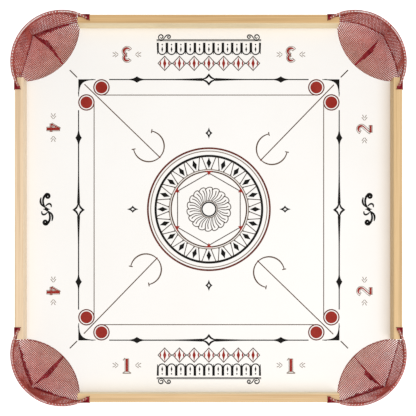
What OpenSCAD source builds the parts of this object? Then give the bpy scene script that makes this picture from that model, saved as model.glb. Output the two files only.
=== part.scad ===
// Carrom board: a square printed panel held in four grooved wooden rails, with a wire hoop
// and a hanging net at each open corner. Millimetres, +Z up, origin on the table under the
// centre of the board, +Y towards the back rail and +X towards the right rail.

/* [Playing area] */
// Side of the square playing area, between facing rails
play_w = 740; // [680:5:780]
// Height of the rails' top faces above the playing face
rail_rise = 25; // [19:0.5:27]
// Distance from a corner of the playing area back to the end of each rail
pocket_gap = 108; // [100:1:116]

/* [Rails] */
// Width of each rail, seen from above
rail_w = 18; // [16:0.5:24]
// Height of each rail, from the table to its top face
rail_h = 64; // [60:1:76]
// Rounding radius of the long rail edges
rail_round = 2; // [1:0.5:3]
// Depth of the groove that the panel stands in
groove_d = 8; // [6:0.5:9]

/* [Panel] */
// Thickness of the plywood core
panel_t = 6; // [5:0.5:9]
// Thickness of the printed face sheet
face_t = 0.8; // [0.6:0.1:1.2]

/* [Hoops] */
// Diameter of the coated hoop wire
wire_d = 3; // [2.4:0.1:3.4]
// Distance the hoop's centreline stands out past the rails' outer faces
hoop_reach = 4.5; // [2.5:0.5:7]
// Distance from a rail's end back to the bore that holds the hoop
bore_in = 20; // [17:0.5:24]
// Depth of the hoop bore below the rail's top face
bore_depth = 24; // [18:1:30]

/* [Nets] */
// Thickness of the netting solids
net_t = 0.8; // [0.6:0.1:1]
// Height of the bag's lowest point above the table
net_low = 2; // [1.5:0.5:8]
// Width of the net's hem under the panel edge
hem_w = 8; // [7:0.5:12]
// Distance the bag's lowest point stands out past the hoop, seen from above
bag_out = 5.5; // [0:0.5:7]
// Outward swell of the bag's seam between its lowest point and a rail
seam_swell = 6; // [3:0.5:8]

/* [Fixings] */
// Number of brads through each rail into the panel's edge
brad_count = 6; // [3:1:8]
// Length of each brad
brad_len = 25; // [20:1:30]
// Shank diameter of each brad
brad_d = 1.2; // [1:0.1:1.6]
// Number of staples under the panel at each net
staple_count = 7; // [3:1:9]

/* [Hidden] */

FINE = 48;                                  // sides of small rounds
ARC = 180;                                  // sides of the pocket and hoop arcs
CUT = 1;                                    // overrun of every cutting shape
GLUE = 0.05;                                // glue line round the panel in its groove
GAP = 0.2;                                  // air between soft pieces and their neighbours

// rails and panel
half_play = play_w / 2;
rail_mid = half_play + rail_w / 2;
rail_out = half_play + rail_w;
rail_end = half_play - pocket_gap;
face_z = rail_h - rail_rise;                // playing face
core_z = face_z - face_t - panel_t;         // panel's underside
tongue = half_play + groove_d - GLUE;       // half the panel's side
pocket_r = norm([rail_mid - half_play, rail_mid - rail_end]);

// hoop: a circle centred on the corner's diagonal, through the rail centreline at bore_in
// from the rail's end, and standing hoop_reach past the rails
tab_t = 0.8;
sleeve_r = 2.5;
bore_y = rail_end - bore_in;
hoop_far = rail_out + hoop_reach;
hoop_b = rail_mid + bore_y - hoop_far;
hoop_k = rail_mid * rail_mid + bore_y * bore_y - hoop_far * hoop_far;
hoop_c = hoop_b + sqrt(hoop_b * hoop_b - hoop_k);
hoop_r = hoop_far - hoop_c;
hoop_z = rail_h + tab_t + sleeve_r + GAP;
bend_r = 4;                                 // bend from the hoop down into its bore
bend_lap = 3;                               // angle that the bend runs on past each end
bend_d = wire_d - 0.04;
hoop_start = asin((bore_y - hoop_c) / hoop_r) + asin(bend_r / hoop_r);
hoop_span = 90 - 2 * hoop_start;
bore_d = wire_d + 0.2;
bore_at = [
    hoop_c + hoop_r * cos(hoop_start) + bend_r * sin(hoop_start),
    hoop_c + hoop_r * sin(hoop_start) - bend_r * cos(hoop_start)
];

// net: rows run from the hem under the panel, over the pocket arc, down to the bag's seam
// and up to the hoop; columns run from one rail end to the other
NET_COLS = 28;
NET_STEPS = 4;                              // rows on each side of the seam
end_air = 1.2;                              // from the rail's end face to the net
net_top = hoop_z - sleeve_r - GAP - net_t / 2;
net_hem_z = core_z - GAP - net_t / 2;
net_arc_half = asin((rail_mid - rail_end) / pocket_r) - 45 - 1.5;
net_hoop_half = 45 - asin((rail_end + end_air - hoop_c) / hoop_r);
apex_xy = hoop_c + (hoop_r + bag_out) * cos(45);
apex = [apex_xy, apex_xy, net_low + net_t / 2];
seam_end = [rail_mid + rail_w / 4, rail_end + end_air, lerp(face_z, rail_h, 0.45)];
net_sag = 2;                                // hollow of the inner netting below a straight line

// fixings
staple_w = 8.8;                             // over the staple's crown
staple_s = 0.8;                             // side of the staple's square wire
staple_leg = 4.4;
staple_r = pocket_r + hem_w * 0.55;         // staple ring, from the corner of the rail lines
tab_staple_leg = 6;
tab_drop = 14;                              // tab's flap down the rail's outer face
tab_w = rail_out - bore_at[0] + 4;
tab_back = bore_at[1] - 4;                  // tab's far edge, past the hoop's bore
brad_head_d = 1.5 * brad_d;
brad_head_h = 0.8;
brad_sink = 0.3;                            // brad head below the rail's face
brad_step = 2 * (rail_end - 40) / (brad_count - 1);
brad_z = core_z + panel_t / 2;

function lerp(a, b, t) = a + (b - a) * t;
function round_at(c, r, a, z) = [c + r * cos(a), c + r * sin(a), z];

// --- placing ---------------------------------------------------------------------------

// Turn a piece drawn for the right rail onto the rail at the given quarter turn
module on_rail(turn) rotate([0, 0, turn * 90]) children();

// Reflect a piece drawn for the back right corner into the corner with the given signs
module at_corner(sx, sy)
    mirror([sx < 0 ? 1 : 0, 0, 0]) mirror([0, sy < 0 ? 1 : 0, 0]) children();

// Draw a piece in each of the four corners
module each_corner() for (sx = [-1, 1], sy = [-1, 1]) at_corner(sx, sy) children();

// --- panel and face --------------------------------------------------------------------

// Outline shared by the panel and its face: a square with a round bite at each corner
module board_outline() {
    notch = rail_out - rail_end;
    difference() {
        square(2 * tongue, center = true);
        each_corner() {
            translate([rail_mid, rail_mid]) circle(r = pocket_r, $fn = ARC);
            translate([half_play, rail_end]) square(notch);
            translate([rail_end, half_play]) square(notch);
        }
    }
}

module play_panel() color("peru") difference() {
    translate([0, 0, core_z]) linear_extrude(panel_t) board_outline();
    for (turn = [0:3]) on_rail(turn) brad_row(0);
    each_corner() net_staple_ring();
}

module play_face() color("ivory")
    translate([0, 0, core_z + panel_t]) linear_extrude(face_t) board_outline();

// --- rails -----------------------------------------------------------------------------

// Cross-section of a rail with rounded edges, from its outer face inwards
module rail_section() {
    r = rail_round;
    for (x = [r, rail_w - r], y = [r, rail_h - r]) translate([x, y]) circle(r = r, $fn = FINE);
    translate([r, 0]) square([rail_w - 2 * r, rail_h]);
    translate([0, r]) square([rail_w, rail_h - 2 * r]);
}

// Rail drawn on the right: grooved inside, bored near both ends, drilled for its fixings
module rail() color("burlywood") difference() {
    translate([half_play, rail_end, 0]) rotate([90, 0, 0])
        linear_extrude(2 * rail_end) rail_section();
    translate([half_play - CUT, -rail_end - CUT, core_z - GLUE])
        cube([groove_d + CUT, 2 * (rail_end + CUT), panel_t + face_t + 2 * GLUE]);
    for (side = [-1, 1]) translate([bore_at[0], side * bore_at[1], rail_h - bore_depth])
        cylinder(d = bore_d, h = bore_depth + CUT, $fn = FINE);
    brad_row(CUT);
    tab_staple_pair();
}

// --- hoops and sleeves -----------------------------------------------------------------

// One end of the hoop: a quarter bend from the arc down into the rail's bore. The bend is a
// hair thinner than the wire and runs on inside the leg and the arc, so they make one solid
module hoop_end() {
    leg = hoop_z - bend_r - (rail_h - bore_depth) - 1;
    translate([bore_at[0], bore_at[1], hoop_z - bend_r]) {
        translate([0, 0, -leg]) cylinder(d = wire_d, h = leg, $fn = FINE);
        rotate([0, 0, hoop_start + 90]) translate([bend_r, 0, 0])
            rotate([90, 0, 0]) rotate([0, 0, 90 - bend_lap])
                rotate_extrude(angle = 90 + 2 * bend_lap, $fn = ARC) translate([bend_r, 0])
                    circle(d = bend_d, $fn = FINE);
    }
}

// Hoop of coated wire, drawn in the back right corner
module hoop() color("whitesmoke") {
    translate([hoop_c, hoop_c, hoop_z]) rotate([0, 0, hoop_start])
        rotate_extrude(angle = hoop_span, $fn = ARC) translate([hoop_r, 0])
            circle(d = wire_d, $fn = FINE);
    hoop_end();
    mirror([1, -1, 0]) hoop_end();
}

// Hem of the net, wrapped round the hoop's wire as a tube
module sleeve() color("firebrick")
    translate([hoop_c, hoop_c, hoop_z]) rotate([0, 0, hoop_start + 1])
        rotate_extrude(angle = hoop_span - 2, $fn = ARC) translate([hoop_r, 0])
            difference() {
                circle(r = sleeve_r, $fn = FINE);
                circle(d = wire_d + 0.2, $fn = FINE);
            }

// --- nets ------------------------------------------------------------------------------

// Point on the bag's seam: u is 0 at the lowest point and 1 at a rail's end, drawn towards
// the right rail when side is -1 and towards the back rail when side is 1
function seam_point(u, side) =
    let (e = side < 0 ? seam_end : [seam_end[1], seam_end[0], seam_end[2]],
         out = seam_swell * sin(180 * u))
    [
        lerp(apex[0], e[0], u) + (side < 0 ? out : 0),
        lerp(apex[1], e[1], u) + (side < 0 ? 0 : out),
        lerp(apex[2], e[2], pow(u, 1.5))
    ];

// Middle surface of the net: t runs from -1 at the right rail to 1 at the back rail
function net_column(t) =
    let (seam = seam_point(abs(t), sign(t)),
         hem = round_at(rail_mid, pocket_r + hem_w, 225 - t * net_arc_half * 0.95, net_hem_z),
         arc = round_at(rail_mid, pocket_r + 0.6, 225 - t * net_arc_half, net_hem_z),
         top = round_at(hoop_c, hoop_r, 45 + t * net_hoop_half, net_top))
    concat(
        [hem, arc],
        [for (k = [1:NET_STEPS]) let (w = k / NET_STEPS)
            lerp(arc, seam, w) - [0, 0, net_sag * sin(180 * w) * (1 - abs(t))]],
        [for (k = [1:NET_STEPS]) lerp(seam, top, k / NET_STEPS)]
    );

// Net as a thin closed shell with its mouth open at the top
module net() color("indianred") difference() {
    grid = [for (i = [0:NET_COLS]) net_column(2 * i / NET_COLS - 1)];
    net_shell(grid);
    net_staple_ring();
}

// Thicken a grid of points into a closed shell, half the thickness to each side
module net_shell(grid) {
    m = len(grid) - 1;
    n = len(grid[0]) - 1;
    row = n + 1;
    layer = (m + 1) * row;
    offsets = [for (i = [0:m], j = [0:n])
        let (a = grid[min(i + 1, m)][j] - grid[max(i - 1, 0)][j],
             b = grid[i][min(j + 1, n)] - grid[i][max(j - 1, 0)],
             c = cross(a, b))
        c / norm(c) * net_t / 2];
    middle = [for (i = [0:m], j = [0:n]) grid[i][j]];
    points = concat(middle + offsets, middle - offsets);
    polyhedron(points, concat(
        [for (i = [0:m - 1], j = [0:n - 1]) each
            let (a = i * row + j) quad(a, a + 1, a + row + 1, a + row)],
        [for (i = [0:m - 1], j = [0:n - 1]) each
            let (a = layer + i * row + j) quad(a, a + row, a + row + 1, a + 1)],
        [for (i = [0:m - 1]) each
            let (a = i * row) quad(a, a + row, a + row + layer, a + layer)],
        [for (i = [0:m - 1]) each
            let (a = i * row + n) quad(a, a + layer, a + row + layer, a + row)],
        [for (j = [0:n - 1]) each
            quad(j, j + layer, j + 1 + layer, j + 1)],
        [for (j = [0:n - 1]) each
            let (a = m * row + j) quad(a, a + 1, a + 1 + layer, a + layer)]
    ));
}

// Two triangles that fill a four-sided face
function quad(a, b, c, d) = [[a, b, c], [a, c, d]];

// --- tabs ------------------------------------------------------------------------------

// Cloth tab at the back end of the right rail: a triangle on the rail's top under the hoop
// and a flap down the rail's outer face
module tab() color("darkred") difference() {
    union() {
        translate([0, 0, rail_h + GAP / 2]) linear_extrude(tab_t)
            polygon([
                [rail_out + tab_t + GAP, tab_back],
                [rail_out + tab_t + GAP, rail_end],
                [rail_out - 3, rail_end],
                [rail_out - tab_w, tab_back + 4],
                [rail_out - tab_w, tab_back]
            ]);
        translate([rail_out + GAP, tab_back, rail_h - tab_drop])
            cube([tab_t, rail_end - tab_back, tab_drop + GAP]);
    }
    translate([bore_at[0], bore_at[1], rail_h - CUT])
        cylinder(d = bore_d + 0.6, h = 3 * CUT, $fn = FINE);
    tab_staple_pair();
}

// --- fixings ---------------------------------------------------------------------------

// Brads through the right rail into the panel's edge; over lengthens them for cutting
module brad_row(over) for (k = [0:brad_count - 1])
    translate([rail_out - brad_sink + over, -rail_end + 40 + k * brad_step, brad_z])
        rotate([0, -90, 0]) {
            cylinder(d = brad_head_d, h = brad_head_h + over, $fn = FINE);
            cylinder(d = brad_d, h = brad_len + over, $fn = FINE);
        }

module brads() color("silver") brad_row(0);

// Staple with its crown in the XY plane along X and its legs standing up from it
module staple(leg) {
    translate([-staple_w / 2, -staple_s / 2, 0]) cube([staple_w, staple_s, staple_s]);
    for (x = [-staple_w / 2, staple_w / 2 - staple_s])
        translate([x, -staple_s / 2, 0]) cube([staple_s, staple_s, leg]);
}

// Staples that hold a net's hem up against the panel's underside
module net_staple_ring() {
    step = 2 * net_arc_half * 0.88 / (staple_count - 1);
    for (k = [0:staple_count - 1])
        translate([rail_mid, rail_mid, net_hem_z - net_t / 2 - staple_s])
            rotate([0, 0, 225 + (k - (staple_count - 1) / 2) * step])
                translate([staple_r, 0, 0]) rotate([0, 0, 90]) staple(staple_leg);
}

module net_staples() color("silver") net_staple_ring();

// Staples through the tabs' flaps, one at each end of the right rail
module tab_staple_pair() for (side = [-1, 1])
    translate([rail_out + tab_t + GAP + staple_s, side * (rail_end + tab_back) / 2,
               rail_h - tab_drop / 2])
        rotate([0, -90, 0]) rotate([0, 0, 90]) staple(tab_staple_leg);

module tab_staples() color("silver") tab_staple_pair();

// --- nodes -----------------------------------------------------------------------------

play_panel();
play_face();
on_rail(3) rail();  // rail_front
on_rail(1) rail();  // rail_back
on_rail(2) rail();  // rail_left
on_rail(0) rail();  // rail_right
on_rail(3) brads();  // brads_front
on_rail(1) brads();  // brads_back
on_rail(2) brads();  // brads_left
on_rail(0) brads();  // brads_right
at_corner(-1, -1) hoop();  // hoop_front_left
at_corner(1, -1) hoop();  // hoop_front_right
at_corner(-1, 1) hoop();  // hoop_back_left
at_corner(1, 1) hoop();  // hoop_back_right
at_corner(-1, -1) sleeve();  // sleeve_front_left
at_corner(1, -1) sleeve();  // sleeve_front_right
at_corner(-1, 1) sleeve();  // sleeve_back_left
at_corner(1, 1) sleeve();  // sleeve_back_right
at_corner(-1, -1) net();  // net_front_left
at_corner(1, -1) net();  // net_front_right
at_corner(-1, 1) net();  // net_back_left
at_corner(1, 1) net();  // net_back_right
mirror([1, 0, 0]) on_rail(3) tab();  // tab_front_left_end
on_rail(3) tab();  // tab_front_right_end
on_rail(1) tab();  // tab_back_left_end
mirror([1, 0, 0]) on_rail(1) tab();  // tab_back_right_end
on_rail(2) tab();  // tab_left_front_end
mirror([1, 0, 0]) tab();  // tab_left_back_end
mirror([0, 1, 0]) tab();  // tab_right_front_end
tab();  // tab_right_back_end
at_corner(-1, -1) net_staples();  // net_staples_front_left
at_corner(1, -1) net_staples();  // net_staples_front_right
at_corner(-1, 1) net_staples();  // net_staples_back_left
at_corner(1, 1) net_staples();  // net_staples_back_right
on_rail(3) tab_staples();  // tab_staples_front
on_rail(1) tab_staples();  // tab_staples_back
on_rail(2) tab_staples();  // tab_staples_left
on_rail(0) tab_staples();  // tab_staples_right
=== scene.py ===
import random
from math import asin, atan2, cos, degrees, hypot, pi, radians, sin, sqrt, tau

import bpy
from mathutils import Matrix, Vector, noise
from mathutils.bvhtree import BVHTree


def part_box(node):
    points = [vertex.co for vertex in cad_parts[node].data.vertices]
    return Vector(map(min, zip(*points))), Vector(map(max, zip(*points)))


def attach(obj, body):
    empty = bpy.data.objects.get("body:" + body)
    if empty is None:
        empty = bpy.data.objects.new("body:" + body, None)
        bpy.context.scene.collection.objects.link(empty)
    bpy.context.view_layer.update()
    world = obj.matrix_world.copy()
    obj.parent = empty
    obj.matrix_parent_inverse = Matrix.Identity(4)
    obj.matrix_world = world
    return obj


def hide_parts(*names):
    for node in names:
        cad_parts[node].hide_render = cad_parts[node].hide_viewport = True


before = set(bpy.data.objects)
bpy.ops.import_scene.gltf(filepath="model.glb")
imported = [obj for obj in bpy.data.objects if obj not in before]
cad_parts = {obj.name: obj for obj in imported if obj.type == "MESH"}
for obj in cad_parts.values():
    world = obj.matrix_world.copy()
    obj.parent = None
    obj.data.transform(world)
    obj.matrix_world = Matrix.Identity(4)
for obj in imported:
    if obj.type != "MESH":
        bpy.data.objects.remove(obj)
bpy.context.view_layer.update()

MM = 0.001
UP = Vector((0, 0, 1))


def lerp(a, b, t):
    return a + (b - a) * t


def smooth(t):
    t = min(max(t, 0), 1)
    return t * t * (3 - 2 * t)


def hump(t):
    """0 at both ends of 0 to 1, and 1 in the middle."""
    return sin(pi * t)


def spread(low, high, count):
    """Evenly spaced values, both ends included."""
    return [lerp(low, high, i / (count - 1)) for i in range(count)]


def profile(marks, t):
    """Value at t along straight runs between (place, value) marks."""
    for (a, va), (b, vb) in zip(marks, marks[1:]):
        if t <= b:
            return lerp(va, vb, max(0, t - a) / (b - a))
    return marks[-1][1]


# --- sizes from the frame ----------------------------------------------------------------
RAIL_LOW, RAIL_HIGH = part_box("rail_right")
PLAY_HALF = RAIL_LOW.x
RAIL_OUT = RAIL_HIGH.x
RAIL_END = RAIL_HIGH.y
RAIL_TOP = RAIL_HIGH.z
RAIL_MID = (PLAY_HALF + RAIL_OUT) / 2
FACE_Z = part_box("play_face")[1].z
PANEL_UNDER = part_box("play_panel")[0].z
POCKET_R = hypot(RAIL_MID - PLAY_HALF, RAIL_MID - RAIL_END)

# The hoop is a circle on the corner's diagonal, through both of its bores
WIRE_R = 1.5 * MM
HOOP_LOW, HOOP_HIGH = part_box("hoop_back_right")
BORE = Vector((RAIL_MID, HOOP_LOW.x + WIRE_R, RAIL_TOP))
HOOP_FAR = HOOP_HIGH.x - WIRE_R
HOOP_Z = HOOP_HIGH.z - WIRE_R
HOOP_B = BORE.x + BORE.y - HOOP_FAR
HOOP_C = HOOP_B + sqrt(HOOP_B ** 2 - BORE.x ** 2 - BORE.y ** 2 + HOOP_FAR ** 2)
HOOP_R = HOOP_FAR - HOOP_C

# The net: its hem under the panel, its lowest point below the hoop's middle and a little
# outside it, and the seam that runs from there to the ends of both rails
NET_T = 0.8 * MM
HEM_Z = PANEL_UNDER - 0.6 * MM
HEM_W = 8 * MM
HEM_DROP = 1.6 * MM             # threads leave this far below the hem, clear of the panel
END_AIR = 1.5 * MM              # between a rail's end and the middle of the threads beside it
HEM_HALF = 39                   # degrees of arc from the pocket's diagonal to the rail
HOOP_HALF = 45 - degrees(asin((RAIL_END + END_AIR - HOOP_C) / HOOP_R))
BORE_HALF = 45 - degrees(atan2(BORE.y - HOOP_C, BORE.x - HOOP_C))
BAG_OUT = 5.5 * MM              # lowest point's distance past the hoop, seen from above
APEX_XY = HOOP_C + (HOOP_R + BAG_OUT) * cos(pi / 4)
APEX = Vector((APEX_XY, APEX_XY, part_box("net_back_right")[0].z + NET_T))
SEAM_END = Vector((lerp(RAIL_MID, RAIL_OUT, 0.5), RAIL_END + END_AIR,
                   lerp(FACE_Z, RAIL_TOP, 0.45)))
STITCH_DROP = 5 * MM            # from the hoop down to the line that closes the sleeve
LACE = 6.3 * MM                 # pitch of the lacing round the wire
ROW_PITCH = 3.5 * MM            # netting threads across a pocket
ROW_R = 1.06 * MM
CHAIN_PITCH = 3.0 * MM          # zigzag threads that tie them together
CHAIN_R = 0.84 * MM
SKIRT_R = 1.0 * MM
SKIRT_PITCH = 3.6 * MM
SKIRT_LEAN = 0.36               # run along the hoop for each step down, so the holes hang tall


# --- mesh building -----------------------------------------------------------------------
def placed(name, data):
    """A new object in the scene."""
    obj = bpy.data.objects.new(name, data)
    bpy.context.scene.collection.objects.link(obj)
    return obj


class Shape:
    """Vertices and faces of one piece. Every call adds one closed skin."""

    def __init__(self):
        self.verts = []
        self.faces = []

    def skin(self, rings, loop=False):
        """Skin through rings of equal length; a loop joins the last ring to the first."""
        base, count, size = len(self.verts), len(rings), len(rings[0])
        for ring in rings:
            self.verts.extend(tuple(p) for p in ring)
        for i in range(count if loop else count - 1):
            a, b = base + i * size, base + (i + 1) % count * size
            for j in range(size):
                k = (j + 1) % size
                self.faces.append((a + j, a + k, b + k, b + j))
        if not loop:
            last = base + (count - 1) * size
            self.faces.append(tuple(range(base + size - 1, base - 1, -1)))
            self.faces.append(tuple(range(last, last + size)))

    def tube(self, points, radius, sides=4):
        """Round thread along a line; radius is a number or one value for each point."""
        if len(points) < 2:
            return
        radii = radius if isinstance(radius, list) else [radius] * len(points)
        side, rings = None, []
        for i, p in enumerate(points):
            ahead = points[min(i + 1, len(points) - 1)] - points[max(i - 1, 0)]
            if ahead.length < 1e-7:
                return
            ahead.normalize()
            if side is None:
                side = ahead.cross(UP if abs(ahead.z) < 0.9 else Vector((1, 0, 0)))
            side = (side - ahead * side.dot(ahead)).normalized()
            rise = side.cross(ahead)
            turns = [tau * j / sides for j in range(sides)]
            rings.append([p + (side * cos(t) + rise * sin(t)) * radii[i] for t in turns])
        self.skin(rings)

    def band(self, left, right, thick):
        """Flat band between two lines, thick upwards."""
        up = UP * (thick / 2)
        self.skin([[a - up, b - up, b + up, a + up] for a, b in zip(left, right)])

    def flipped(self, swap, sx, sy):
        """Copy moved to another corner: x and y swapped if asked, then mirrored."""
        copy = Shape()
        for x, y, z in self.verts:
            if swap:
                x, y = y, x
            copy.verts.append((x * sx, y * sy, z))
        turned = (sx * sy < 0) != swap
        copy.faces = [f[::-1] if turned else f for f in self.faces]
        return copy

    def piece(self, name, material, slot, stands_for=(), soft=True):
        """The finished object, riding on the board."""
        mesh = bpy.data.meshes.new(name)
        mesh.from_pydata(self.verts, [], self.faces)
        mesh.materials.append(material)
        mesh.polygons.foreach_set("use_smooth", [soft] * len(mesh.polygons))
        obj = placed(name, mesh)
        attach(obj, "root")
        if stands_for:
            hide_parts(*stands_for)


# --- materials ---------------------------------------------------------------------------
WHITE = (1, 1, 1, 1)


def rgb(red, green, blue):
    """Linear colour from screen values of 0 to 255."""
    def linear(c):
        c /= 255
        return c / 12.92 if c <= 0.04045 else ((c + 0.055) / 1.055) ** 2.4
    return (linear(red), linear(green), linear(blue), 1)


class Paint:
    """A node material with one short call for each node."""

    def __init__(self, name, **inputs):
        self.material = bpy.data.materials.new(name)
        self.material.use_nodes = True
        self.tree = self.material.node_tree
        self.skin = self.tree.nodes["Principled BSDF"]
        for key, value in inputs.items():
            self.skin.inputs[key.replace("_", " ")].default_value = value
        self.place = self.node("ShaderNodeTexCoord").outputs["Object"]

    def node(self, kind, links=None, values=None, **settings):
        made = self.tree.nodes.new(kind)
        for key, value in settings.items():
            setattr(made, key, value)
        for key, value in (values or {}).items():
            made.inputs[key].default_value = value
        for key, source in (links or {}).items():
            self.tree.links.new(source, made.inputs[key])
        return made

    def stretched(self, scale, shift=(0, 0, 0)):
        """The place on the board, stretched and moved."""
        values = {"Location": shift, "Scale": scale}
        return self.node("ShaderNodeMapping", {"Vector": self.place}, values).outputs["Vector"]

    def axis(self, index):
        return self.node("ShaderNodeSeparateXYZ", {"Vector": self.place}).outputs[index]

    def length(self, vector):
        return self.node("ShaderNodeVectorMath", {0: vector}, operation="LENGTH").outputs["Value"]

    def noise(self, where, scale, detail=4, rough=0.55):
        values = {"Scale": scale, "Detail": detail, "Roughness": rough}
        return self.node("ShaderNodeTexNoise", {"Vector": where}, values).outputs["Fac"]

    def ribs(self, scale, distortion):
        """Slanting ribs, pushed about by noise."""
        values = {"Scale": scale, "Distortion": distortion, "Detail": 2.0}
        return self.node("ShaderNodeTexWave", {"Vector": self.place}, values,
                         bands_direction="DIAGONAL").outputs["Fac"]

    def maths(self, kind, a, b=0.0):
        plain = {i: v for i, v in enumerate((a, b)) if isinstance(v, (int, float))}
        links = {i: v for i, v in enumerate((a, b)) if i not in plain}
        return self.node("ShaderNodeMath", links, plain, operation=kind).outputs[0]

    def remap(self, value, start, end, low, high):
        """Low at start and before, high at end and after, straight between."""
        values = {"From Min": start, "From Max": end, "To Min": low, "To Max": high}
        return self.node("ShaderNodeMapRange", {"Value": value}, values).outputs["Result"]

    def ramp(self, factor, *stops):
        """Colours at positions along a factor."""
        node = self.node("ShaderNodeValToRGB", {"Fac": factor})
        bar = node.color_ramp.elements
        while len(bar) < len(stops):
            bar.new(0.5)
        for mark, (place, colour) in zip(bar, stops):
            mark.position = place
            mark.color = colour
        return node.outputs["Color"]

    def mix(self, factor, a, b, kind="MIX"):
        node = self.node("ShaderNodeMix", data_type="RGBA", blend_type=kind)
        for socket, value in ((0, factor), (6, a), (7, b)):
            if isinstance(value, (int, float, tuple)):
                node.inputs[socket].default_value = value
            else:
                self.tree.links.new(value, node.inputs[socket])
        return node.outputs[2]

    def shade(self, share, colour, factor, *stops):
        """A colour multiplied by a share of a ramp."""
        return self.mix(share, colour, self.ramp(factor, *stops), "MULTIPLY")

    def colour(self, source):
        self.tree.links.new(source, self.skin.inputs["Base Color"])
        return self.material

    def finish(self, colour, rough, low, high, height, depth, strength):
        """Surface with a colour, a roughness from low to high, and relief to a depth."""
        self.tree.links.new(self.remap(rough, 0, 1, low, high), self.skin.inputs["Roughness"])
        relief = self.node("ShaderNodeBump", {"Height": height},
                           {"Distance": depth, "Strength": strength})
        self.tree.links.new(relief.outputs["Normal"], self.skin.inputs["Normal"])
        return self.colour(colour)


def timber(name, lengthwise, sap, late, pale, seed):
    """Planed pine. Growth rings lie round a heart that runs along the rail, so they show as
    lines on its long faces and as arcs on its ends."""
    paint = Paint(name, Coat_Weight=0.12, Coat_Roughness=0.3)
    across = 1 - lengthwise
    heart = [0.0, 0.0, -45 * MM]
    heart[across] = 30 * MM * (seed % 3 - 1.4)
    drift = [seed * 1.7, seed * 2.3, seed * 0.9]

    def drawn_out(share, shift):
        """The place squeezed along the rail, so that a texture on it runs lengthwise."""
        return paint.stretched([share if i == lengthwise else 1.0 for i in range(3)], shift)

    bend = paint.noise(drawn_out(0.02, drift), 22, 3)
    patch = paint.noise(drawn_out(0.02, drift[::-1]), 9, 2)
    fibre = paint.noise(drawn_out(0.012, drift), 1500, 5, 0.65)
    streak = paint.noise(drawn_out(0.012, drift[::-1]), 170, 3, 0.6)
    rings = paint.maths("MULTIPLY", paint.length(drawn_out(0.0, heart)), 340.0)
    ring = paint.maths("FRACT", paint.maths("ADD", rings, paint.maths("MULTIPLY", bend, 7.0)))
    grain = paint.ramp(ring, (0.0, (0, 0, 0, 1)), (0.62, (0.35, 0.35, 0.35, 1)),
                       (0.93, WHITE), (1.0, (0.1, 0.1, 0.1, 1)))
    tone = paint.mix(paint.maths("MULTIPLY", grain, 0.75), sap, late)
    tone = paint.mix(paint.maths("MULTIPLY", patch, 0.45), tone, late)
    tone = paint.shade(0.8, tone, streak, (0.34, (0.80, 0.75, 0.68, 1)), (0.5, WHITE),
                       (0.66, (1.07, 1.08, 1.10, 1)))
    # painted light and shade: the inner face gets its own colour, lighter than the top where the
    # lamps light it, and darker on the right rail, where it lies in shade
    inner = paint.remap(paint.maths("ABSOLUTE", paint.axis(across)),
                        PLAY_HALF, PLAY_HALF + 1.6 * MM, 0.75, 0.0)
    tone = paint.mix(inner, tone, pale)
    tone = paint.shade(0.55, tone, fibre, (0.3, (0.80, 0.74, 0.66, 1)), (0.55, WHITE))
    height = paint.maths("ADD", fibre, paint.maths("MULTIPLY", ring, 0.4))
    return paint.finish(tone, fibre, 0.36, 0.56, height, 0.12 * MM, 0.5)


def plywood():
    """Birch plies: alternate bands through the thickness, with dark glue lines between them."""
    paint = Paint("plywood")
    pair, glue = 2.4 * MM, rgb(120, 84, 52)
    ply = paint.maths("FRACT", paint.maths("MULTIPLY", paint.axis(2), 1 / pair))
    band = paint.ramp(ply, (0.0, rgb(196, 160, 118)), (0.46, rgb(206, 172, 130)), (0.5, glue),
                      (0.54, rgb(232, 206, 168)), (0.96, rgb(226, 198, 158)), (1.0, glue))
    fibre = paint.noise(paint.stretched((1, 0.05, 1)), 900, 4)
    tone = paint.shade(0.35, band, fibre, (0.3, (0.72, 0.66, 0.6, 1)), (0.7, WHITE))
    return paint.finish(tone, fibre, 0.5, 0.72, fibre, 0.2 * MM, 0.4)


def sheet_white():
    """Satin printed sheet: off-white, faintly mottled, with a fine press grain."""
    paint = Paint("printed_face", Specular_IOR_Level=0.3)
    cloud = paint.noise(paint.place, 6, 3)
    speck = paint.noise(paint.place, 900, 2)
    tone = paint.ramp(cloud, (0.3, rgb(252, 249, 245)), (0.7, rgb(254, 252, 249)))
    tone = paint.shade(0.05, tone, speck, (0.35, rgb(236, 226, 214)), (0.6, rgb(255, 252, 248)))
    # painted shade, warm as if lit by bounce from the wood, near the rails; strongest along the
    # right one, where that rail casts its shadow
    x, y = paint.axis(0), paint.axis(1)
    for side, width, share in ((x, 30 * MM, 0.5), (paint.maths("ABSOLUTE", x), 20 * MM, 0.1),
                               (paint.maths("ABSOLUTE", y), 35 * MM, 0.2)):
        near = paint.remap(side, PLAY_HALF - width, PLAY_HALF, 0.0, share)
        tone = paint.mix(near, tone, (1.0, 0.93, 0.85, 1), "MULTIPLY")
    return paint.finish(tone, speck, 0.24, 0.36, speck, 0.02 * MM, 0.3)


def ink(name, deep, worn):
    """Screen ink: slightly uneven cover with a satin surface."""
    paint = Paint(name, Specular_IOR_Level=0.08)
    cover = paint.noise(paint.place, 420, 5, 0.7)
    drift = paint.noise(paint.place, 35, 2)
    uneven = paint.maths("MULTIPLY", paint.maths("ADD", cover, drift), 0.5)
    tone = paint.ramp(uneven, (0.4, deep), (0.62, worn))
    return paint.finish(tone, cover, 0.32, 0.5, cover, 0.01 * MM, 0.4)


# the netting's painted shade fades out over this span from the pocket's edge
PANEL_SHADE_FROM = (RAIL_MID - POCKET_R / sqrt(2)) * sqrt(2)   # pocket's edge, from the middle
PANEL_SHADE_TO = PANEL_SHADE_FROM + 90 * MM


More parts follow.
